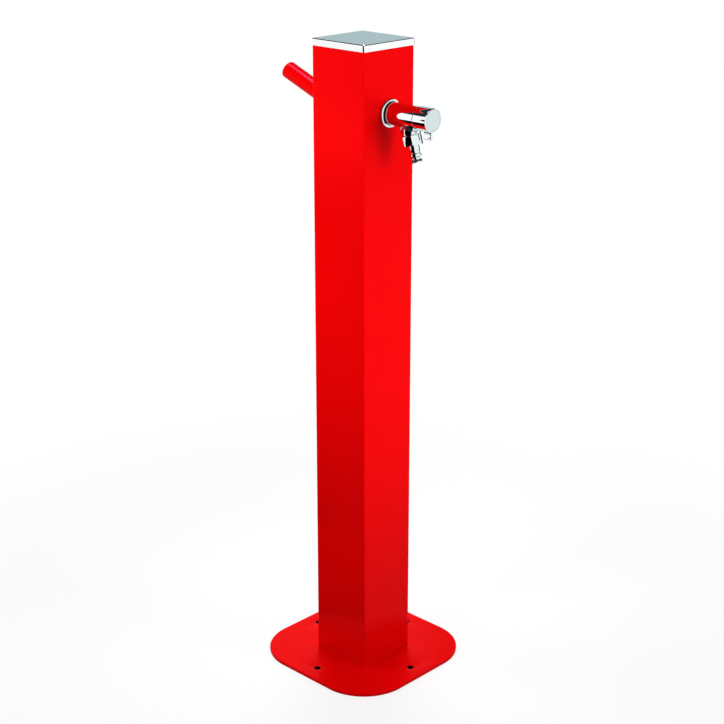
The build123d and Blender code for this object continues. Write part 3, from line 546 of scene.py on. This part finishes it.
def pegTube():
    # the tube's wall turned about its axis; its end rows lie on the column's face, where the
    # distance along the axis cancels the reach of each point across it
    root, along, across, up = pegAxis
    mouth = roundProfile([
        (outer, peg["plainStart"], 0), (outer, peg["length"], peg["edge"]),
        (inner, peg["length"], peg["innerEdge"]), (inner, peg["plainStart"], 0),
    ])
    turn = np.linspace(0, 2 * np.pi, peg["columns"], endpoint=False)[:, None]
    ends = []
    for radius in (outer, inner):
        radial = radius * (np.cos(turn) * across + np.sin(turn) * up)
        ends.append(root + radial - radial[:, 1:2] / along[1] * along)
    grid = turned(mouth, pegAxis, peg["columns"])
    return np.concatenate([ends[0][None], grid, ends[1][None]], 0)


nodePiece("hosePeg", [closed(pegTube())], "hose_peg", sharp=50)
back = peg["length"] - peg["disc"]
disc = roundProfile([
    (0, back, 0), (inner, back, peg["discBackEdge"]),
    (inner, peg["length"], peg["discEdge"]), (0, peg["length"], 0),
], steps=6)
nodePiece("pegEndDisc", [ended(turned(disc, pegAxis, peg["columns"]))], "peg_end_disc")
print("hose peg made")


# tap

def paintShadeOn(piece, isShaded):
    # the faces that the test picks, by their middle's radius about the tap's axis and their distance
    # from the column's face, take near-black metal as painted shade
    centres = np.empty(3 * len(piece.data.polygons), np.float32)
    piece.data.polygons.foreach_get("center", centres)
    x, y, z = centres.reshape(-1, 3).T / mm
    inShade = isShaded(np.hypot(x, z - column["tapHeight"]), -y - column["side"] / 2)
    piece.data.materials.append(paintedShadeMetal)
    piece.data.polygons.foreach_set("material_index", inShade.astype(np.int32))


# the faces from a margin within the collar to one past the groove's wall, up to a third margin short
# of the collar's end, are painted near-black as shade; the margins stand in that order below
rosette = {
    "bore": 13.7, "radius": 20.5, "rim": 2, "round": 3.5, "groove": 0.5, "depth": 9,
    "columns": 160, "shadeInside": 0.2, "shadeOutside": 0.02, "shadeStopsShort": 0.3,
}
collar = rosette["radius"] - rosette["round"] - rosette["groove"]
grooveWall = collar + rosette["groove"]
shoulder = rosette["rim"] + rosette["round"]
line = roundProfile([
    (rosette["bore"], 0, 0.2), (rosette["radius"], 0, 0.2),
    (rosette["radius"], shoulder, rosette["round"] - 0.1), (grooveWall, shoulder, 0.08),
    (grooveWall, rosette["rim"], 0.05), (collar, rosette["rim"], 0.05),
    (collar, rosette["depth"], 0.4), (rosette["bore"], rosette["depth"], 0.2),
], steps=14)
turnedLine = turned(line, tapAxis, rosette["columns"])
tapRosette = nodePiece("tapRosette", [closed(turnedLine)], "tap_rosette")
# the groove and the collar's side are painted near-black as shade
paintShadeOn(tapRosette, lambda radius, depth: (
    (radius > collar - rosette["shadeInside"]) & (radius < grooveWall + rosette["shadeOutside"])
    & (depth < rosette["depth"] - rosette["shadeStopsShort"])
))

barrel = {
    "radius": 16, "start": 9, "end": 56, "neck": 13.5, "gasket": 2, "shank": 10.4, "shankEnd": -24,
    "bore": 6.5, "pocket": 12, "pocketStart": 18, "edge": 0.2, "columns": 160, "shadeWithin": 0.02,
}
spout = {
    "reach": 34.2, "lean": 17, "inside": 9, "collar": 13.4, "collarEnd": 26, "thread": 10.4,
    "threadEnd": 36, "bore": 6.5, "pocket": 8, "pocketStart": 18, "edge": 0.5,
}
lean = radians(spout["lean"])
spoutAxis = axisAt(tapAxis[0] + tapAxis[1] * spout["reach"], (0, -sin(lean), -cos(lean)))
barrelLine = roundProfile([
    (barrel["bore"], barrel["shankEnd"], 0.3), (barrel["shank"], barrel["shankEnd"], 1.0),
    (barrel["shank"], barrel["gasket"], 0.2), (barrel["neck"], barrel["gasket"], 0.3),
    (barrel["neck"], barrel["start"], 0.2), (barrel["radius"], barrel["start"], 0.4),
    (barrel["radius"], barrel["end"], barrel["edge"]), (barrel["pocket"], barrel["end"], 0.4),
    (barrel["pocket"], barrel["pocketStart"], 0.2), (barrel["bore"], barrel["pocketStart"], 0.3),
])
spoutLine = roundProfile([
    (spout["bore"], spout["inside"], 0), (spout["collar"], spout["inside"], 0),
    (spout["collar"], spout["collarEnd"], spout["edge"]), (spout["thread"], spout["collarEnd"], 0.3),
    (spout["thread"], spout["threadEnd"], 0.8), (spout["pocket"], spout["threadEnd"], 0.2),
    (spout["pocket"], spout["pocketStart"], 0.2), (spout["bore"], spout["pocketStart"], 0.2),
])
shells = [closed(turned(barrelLine, tapAxis, barrel["columns"])), closed(turned(spoutLine, spoutAxis))]
tapBody = nodePiece("tapBody", shells, "tap_body")
# the barrel's end face, inside the gap to the knob, is painted near-black as shade
paintShadeOn(tapBody, lambda radius, depth: abs(depth - barrel["end"]) < barrel["shadeWithin"])

# chamferRows is the first row's depth, the last one's in chamfers, and their number; middleRows
# is the rows' distance from the ends and their number; fromCorner is in degrees
nut = {
    "flat": 12.7, "corner": 0.5, "start": 26.3, "end": 41, "turn": 6, "bore": 10.45, "lip": 7.7,
    "lipStart": 39, "faceInset": 0.25, "chamfer": 1.1, "chamferSlope": 0.6,
    "chamferRows": (0.08, 1.4, 9), "guard": 0.02, "middleRows": (2.2, 5),
    "fromCorner": [0.0, 0.35, 0.8, 1.6, 3.2, 6.4, 12, 20],
}


def hexagonNut():
    # the radius is the hexagon's, flat distance over the cosine of the turn from the flat's
    # middle, cut by a cone at each end, and inside it the bore's
    halfFlat = 30  # degrees from a flat's middle to its corner
    edge = np.radians(halfFlat - np.array(nut["fromCorner"]))
    fromFlat = np.r_[-edge[:-1], 0, edge[:0:-1]]
    turn = (np.arange(6)[:, None] * np.pi / 3 + fromFlat[None]).ravel() - radians(nut["turn"])
    point = nut["flat"] / cos(radians(halfFlat)) - nut["corner"]
    hexagon = np.minimum(nut["flat"] / np.cos(np.tile(fromFlat, 6)), point)
    first, reach, count = nut["chamferRows"]
    depth = np.r_[0, nut["guard"], np.linspace(first, nut["chamfer"] * reach, count)]
    inset, count = nut["middleRows"]
    middle = np.linspace(nut["start"] + inset, nut["end"] - inset, count)
    s = np.r_[nut["start"] + depth, middle, nut["end"] - depth[::-1]]
    fromEnd = np.minimum(s - nut["start"], nut["end"] - s)
    cone = nut["flat"] - nut["faceInset"] + fromEnd / nut["chamferSlope"]
    radius = np.minimum(hexagon[None], cone[:, None])
    bore = roundProfile([
        (nut["lip"], nut["end"], 0), (nut["lip"], nut["lipStart"], 0.3),
        (nut["bore"], nut["lipStart"], 0.2), (nut["bore"], nut["start"], 0),
    ], steps=4)
    radius = np.r_[radius, np.broadcast_to(bore[:, :1], (len(bore), len(turn)))]
    s = np.r_[s, bore[:, 1]]
    root, along, across, up = spoutAxis
    sideways = (radius * np.cos(turn))[..., None] * across
    upwards = (radius * np.sin(turn))[..., None] * up
    return root + sideways + upwards + s[:, None, None] * along


nodePiece("unionNut", [closed(hexagonNut())], "union_nut", sharp=28)

stem = {
    "bore": 4.5, "flange": 10.2, "flangeStart": 37.5, "flangeEnd": 39, "shoulder": 7.5,
    "shoulderEnd": 46, "waist": 6.5, "taperEnd": 50, "ridge": 8, "ridgeStart": 52.6,
    "ridgeEnd": 55.8, "slope": 1.2, "seat": 5.3, "tipStart": 62.7, "tip": 7, "end": 64.5,
}
line = roundProfile([
    (stem["bore"], stem["flangeStart"], 0.1), (stem["flange"], stem["flangeStart"], 0.1),
    (stem["flange"], stem["flangeEnd"], 0.1), (stem["shoulder"], stem["flangeEnd"], 0.3),
    (stem["shoulder"], stem["shoulderEnd"], 0.6), (stem["waist"], stem["taperEnd"], 1.2),
    (stem["waist"], stem["ridgeStart"] - stem["slope"], 0.3), (stem["ridge"], stem["ridgeStart"], 0.5),
    (stem["ridge"], stem["ridgeEnd"], 0.6), (stem["seat"], stem["ridgeEnd"] + stem["slope"], 0.4),
    (stem["seat"], stem["tipStart"], 0.2), (stem["tip"], stem["tipStart"], 0.2),
    (stem["tip"], stem["end"], 0.7), (stem["bore"], stem["end"], 0.4),
])
nodePiece("hoseStem", [closed(turned(line, spoutAxis))], "hose_stem")

ring = {"radius": 6.6, "place": 61.4, "section": 2.6, "sides": 24, "columns": 96}


def sealRing():
    # a circle of the section's size turned about the spout's axis
    bend = np.linspace(0, 2 * np.pi, ring["sides"], endpoint=False)
    radius = ring["radius"] + ring["section"] / 2 * np.cos(bend)
    place = ring["place"] + ring["section"] / 2 * np.sin(bend)
    return turned(np.c_[radius, place], spoutAxis, ring["columns"])


nodePiece("stemRing", [closed(sealRing())], "stem_ring")

# the check valve's spring, which shortens towards its fixed end as the poppet lifts: here its
# points' reach along the lift is only worked out, and it gets a mesh of its own
joints = frame["record"]["behaviour"]["joints"]
lift = next(joint for joint in joints if joint["name"] == "poppet_lift")
spring = nodes["check_valve_spring"]
wirePoints = np.array([spring.matrix_world @ vertex.co for vertex in spring.data.vertices])
reach = wirePoints @ np.array(lift["axis"])
wirePoints[reach.argmax()].tolist()
1 - lift["range_m"][1] / float(np.ptp(reach))
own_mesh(spring)

knob = {
    "radius": 16.5, "start": 57, "end": 81, "wall": 2.2, "webStart": 69.25, "webEnd": 75.25, "hub": 8,
    "hubStart": 66.9, "bore": 4.05, "chamfer": 1, "seat": 15.3, "seatStart": 78.3, "well": 13.3,
    "columns": 160,
}
inside = knob["radius"] - knob["wall"]
line = roundProfile([
    (knob["bore"], knob["hubStart"], 0.2), (knob["hub"], knob["hubStart"], 0.3),
    (knob["hub"], knob["webStart"], 0.3), (inside, knob["webStart"], 0.3),
    (inside, knob["start"], 0.3), (knob["radius"], knob["start"], 0.5),
    (knob["radius"], knob["end"] - knob["chamfer"], 0.25),
    (knob["radius"] - knob["chamfer"], knob["end"], 0.15), (knob["seat"], knob["end"], 0.05),
    (knob["seat"], knob["seatStart"], 0.1), (knob["well"], knob["seatStart"], 0.1),
    (knob["well"], knob["webEnd"], 0.2), (knob["bore"], knob["webEnd"], 0.2),
], steps=6, guard=0.03)
# its top is hidden inside the knob's wall, at the radius inside
fin = {
    "thickness": 3.6, "length": 13, "inset": 2.4, "drop": 11, "round": 1.2, "inside": 14.5,
    "steps": 8, "guard": 0.2, "tipGuard": 0.05,
}


def knobFin():
    # a rounded oblong carried down from inside the knob, its lower rows drawn in along a
    # quarter circle to a flat tip
    half = np.array([fin["thickness"] / 2, fin["length"] / 2])
    outwards, slide = roundCorners(fin["steps"], fin["guard"])
    sign = np.array([(1, 1), (-1, 1), (-1, -1), (1, -1)]).repeat(fin["steps"] + 2, 0)
    bend = np.linspace(0, np.pi / 2, fin["steps"])
    tip = knob["radius"] + fin["drop"]
    flatEnd = tip - fin["round"] - fin["tipGuard"]
    roundRows = tip - fin["round"] * (1 - np.sin(bend))
    depth = np.r_[fin["inside"], fin["inside"], flatEnd, roundRows, tip]
    pull = np.r_[0, 0, 0, fin["round"] * (1 - np.cos(bend)), 0]
    corner = np.maximum(fin["round"] - pull[:, None, None], 0.0)
    flat = sign * (half - fin["round"]) + slide + corner * outwards
    flat[[0, -1]] *= 0
    middle = knob["end"] - fin["inset"] - fin["length"] / 2
    x = flat[..., 0]
    y = -column["side"] / 2 - middle - flat[..., 1]
    z = np.broadcast_to(column["tapHeight"] - depth[:, None], x.shape)
    return np.stack([x, y, z], -1)


shells = [closed(turned(line, tapAxis, knob["columns"])), ended(knobFin())]
nodePiece("tapKnob", shells, "tap_knob", "handle")

cover = {"radius": 15.25, "start": 78.3, "end": 80.8, "edge": 0.25, "backEdge": 0.1}
line = roundProfile([
    (0, cover["start"], 0), (cover["radius"], cover["start"], cover["backEdge"]),
    (cover["radius"], cover["end"], cover["edge"]), (0, cover["end"], 0),
], steps=6)
nodePiece("knobCover", [ended(turned(line, tapAxis))], "knob_disc", "handle", satin)
print("tap made")


# floor, light and camera

studio = {
    "floorSize": 24.0, "paint": (0.80, 0.80, 0.80), "bounce": (0.08, 0.08, 0.08),
    "near": 0.30, "far": 1.1, "whiteNear": 0.72, "underPlate": (0.108, 0.118),
    "shadeUnderPlate": (0.01, 0.01, 0.01), "light": (0.645, 0.645, 0.645),
}


def floorFinish():
    # a pale floor; the camera and mirrors see it fade to plain white away from the object, and under
    # the plate it is painted near-black as shade, which only the plate's holes show
    f = Finish("paleFloor")
    spot = f.node("ShaderNodeTexCoord", output="Object")
    distance = f.node("ShaderNodeVectorMath", {"operation": "LENGTH"}, {0: spot}, output="Value")
    fade = f.node("ShaderNodeMapRange", {"interpolation_type": "SMOOTHSTEP"}, {
        "Value": distance, "From Min": studio["near"], "From Max": studio["far"],
        "To Min": studio["whiteNear"], "To Max": 1.0,
    })
    clear = f.node("ShaderNodeMapRange", values={
        "Value": distance, "From Min": studio["underPlate"][0], "From Max": studio["underPlate"][1],
    })
    kinds = ("Is Camera Ray", "Is Glossy Ray", "Is Transmission Ray")
    toCamera, toMirror, toGlass = (f.node("ShaderNodeLightPath", output=kind) for kind in kinds)
    seen = toCamera + toMirror + toGlass
    colour = f.blendColours(seen, shade(studio["bounce"]), shade(studio["paint"]))
    # near-black under the plate: painted shade, seen through the plate's holes
    colour = f.blendColours(clear, shade(studio["shadeUnderPlate"]), colour)
    lit = f.node("ShaderNodeBsdfDiffuse", values={"Color": colour})
    white = f.node("ShaderNodeEmission", values={"Color": shade((1, 1, 1)), "Strength": 1.0})
    both = f.node("ShaderNodeMixShader", values={0: fade * seen * clear, 1: lit, 2: white})
    f.node("ShaderNodeOutputMaterial", values={"Surface": both})
    return f.owner


side = studio["floorSize"] / 2 / mm
square = np.array([[(-side, -side, 0), (side, -side, 0)], [(-side, side, 0), (side, side, 0)]], float)
floor = makePiece("floor", [openSheet(square)], floorFinish())

# the camera sees a white world, and mirrors one that is bright low down and dark above
sky = [
    (0.0, shade((1.25, 1.25, 1.25))), (0.40, shade((1.25, 1.25, 1.25))),
    (0.45, shade((0.02, 0.022, 0.024))), (1.0, shade((0.03, 0.033, 0.036))),
]
world = bpy.data.worlds.new("studio")
bpy.context.scene.world = world
f = Finish("studio", world)
direction = f.node("ShaderNodeTexCoord", output="Generated")
height = f.node("ShaderNodeSeparateXYZ", values={0: direction}, output="Z")
mirrored = f.node("ShaderNodeValToRGB", {"stops": sky}, {0: height})
toCamera = f.node("ShaderNodeLightPath", output="Is Camera Ray")
toMirror = f.node("ShaderNodeLightPath", output="Is Glossy Ray")
plain = f.blendColours(toCamera, shade(studio["light"]), shade((1, 1, 1)))
colour = f.blendColours(toMirror, plain, mirrored)
background = f.node("ShaderNodeBackground", values={"Color": colour, "Strength": 1.0})
f.node("ShaderNodeOutputWorld", values={"Surface": background})

# panels round the object that only mirrors see, each between two rings of (radius, height) and
# two bearings in degrees, 0 straight out from the tap's face and 90 along x
panels = {
    "darkFrontLeft": {
        "bearings": (-126.5, -44), "low": (1.3, 0.45), "high": (1.3, 1.5), "colour": (0.0, 0.0, 0.0),
    },
    "darkLowLeft": {
        "bearings": (-160, -44), "low": (0.16, 0.004), "high": (1.3, 0.46), "colour": (0.0, 0.0, 0.0),
    },
    "paleNearLeft": {
        "bearings": (-160, -106.5), "low": (0.35, 0.705), "high": (0.35, 0.8), "colour": (1.25, 1.25, 1.25),
    },
    "redNearLeft": {
        "bearings": (-175, -134.5), "low": (0.35, 0.44), "high": (0.35, 0.6), "colour": (0.95, 0.002, 0.004),
    },
    "redFootLeft": {
        "bearings": (-145, -105), "low": (0.17, 0.02), "high": (0.32, 0.085), "colour": (0.6, 0.002, 0.003),
    },
    "overPeg": {
        "bearings": (151, 209), "low": (0.22, 1.69), "high": (0.38, 1.69), "colour": (50.0, 50.0, 130.0),
    },
    "darkBackRight": {
        "bearings": (62, 128), "low": (1.3, 0.45), "high": (1.3, 1.0), "colour": (0.01, 0.01, 0.01),
    },
    "paleFrontRight": {
        "bearings": (-38, 58), "low": (1.3, 0.7), "high": (1.3, 1.7), "colour": (1.05, 1.05, 1.05),
    },
    "paleBackRight": {
        "bearings": (128, 176), "low": (1.5, 0.5), "high": (1.5, 1.02), "colour": (0.9, 0.9, 0.9),
    },
    "greyBackRight": {
        "bearings": (100, 170), "low": (1.5, 1.02), "high": (1.5, 1.5), "colour": (0.416, 0.545, 0.565),
    },
}
panelColumns = 24
for name, look in panels.items():
    f = Finish(name)
    glow = f.node("ShaderNodeEmission", values={"Color": shade(look["colour"]), "Strength": 1.0})
    f.node("ShaderNodeOutputMaterial", values={"Surface": glow})
    f.owner.cycles.emission_sampling = "NONE"
    # radius times the sine and minus the cosine of the bearing, and the height
    bearing = np.radians(np.linspace(*look["bearings"], panelColumns))
    radius, height = np.array([look["low"], look["high"]]).T[..., None]
    points = np.broadcast_arrays(radius * np.sin(bearing), -radius * np.cos(bearing), height)
    panel = makePiece(name, [openSheet(np.stack(points, -1) / mm)], f.owner)
    for ray in ("camera", "diffuse", "transmission", "shadow"):
        setattr(panel, f"visible_{ray}", False)

# the lamps light surfaces, but don't show in mirrors
lamps = {
    "leftSide": {
        "at": (-1.3, 0.1, 0.85), "aim": (0, 0, 0.75), "size": (0.6, 0.6), "watts": 1.1, "spread": 180,
    },
    "leftTop": {
        "at": (-1.2, 0.1, 1.25), "aim": (0, 0, 0.95), "size": (0.5, 0.5), "watts": 2.1, "spread": 70,
    },
    "leftKnee": {
        "at": (-1.3, 0.1, 0.6), "aim": (0, 0, 0.5), "size": (0.5, 0.3), "watts": 0.45, "spread": 40,
    },
    "rightSide": {
        "at": (0.35, -1.2, 1.3), "aim": (0, 0, 0.75), "size": (0.8, 0.8), "watts": 1.15, "spread": 180,
    },
    "rightTop": {
        "at": (0.2, -1.3, 1.2), "aim": (0, 0, 0.95), "size": (0.8, 0.6), "watts": 1.4, "spread": 40,
    },
    "rightKnee": {
        "at": (0.6, -1.3, 0.45), "aim": (0, 0, 0.4), "size": (0.8, 0.3), "watts": 1.3, "spread": 40,
    },
    "backRightLow": {
        "at": (1.1, 0.5, 0.5), "aim": (0.1, 0, 0), "size": (0.5, 0.5), "watts": 1.3, "spread": 120,
    },
    "backLeftTop": {
        "at": (-0.7, 0.9, 1.7), "aim": (-0.1, 0, 0), "size": (0.6, 0.6), "watts": 0.55, "spread": 50,
    },
    "backTop": {
        "at": (0.6, 0.6, 1.9), "aim": (0.04, 0.04, 0), "size": (0.8, 0.8), "watts": 1.6, "spread": 45,
    },
}
for name, lamp in lamps.items():
    light = bpy.data.lights.new(name, "AREA")
    light.shape = "RECTANGLE"
    light.size, light.size_y = lamp["size"]
    light.energy = lamp["watts"]
    light.spread = radians(lamp["spread"])
    holder = bpy.data.objects.new(name, light)
    bpy.context.scene.collection.objects.link(holder)
    holder.location = lamp["at"]
    holder.rotation_mode = "QUATERNION"
    holder.rotation_quaternion = (Vector(lamp["aim"]) - Vector(lamp["at"])).to_track_quat("-Z", "Y")
    holder.visible_camera = False
    holder.visible_glossy = False

# metres and degrees; the focal length and the lens axis are in pixels of the frame, and the
# sensor is in millimetres
view = {
    "distance": 2.2, "height": 1.26845, "azimuth": -45.93, "pitch": 18.53,
    "focal": 1587.0, "axis": (363.16, 325.8), "frame": 724, "sensor": 36,
}
lens = bpy.data.cameras.new("camera")
lens.sensor_width = view["sensor"]
lens.lens = view["focal"] / view["frame"] * view["sensor"]
lens.shift_x = (view["frame"] / 2 - view["axis"][0]) / view["frame"]
lens.shift_y = (view["axis"][1] - view["frame"] / 2) / view["frame"]
camera = bpy.data.objects.new("camera", lens)
bpy.context.scene.collection.objects.link(camera)
bearing = radians(view["azimuth"])
camera.location = (view["distance"] * sin(bearing), -view["distance"] * cos(bearing), view["height"])
camera.rotation_euler = (radians(90 - view["pitch"]), 0, bearing)
bpy.context.scene.camera = camera
bpy.context.scene.view_settings.view_transform = "Standard"
print("light and camera set")
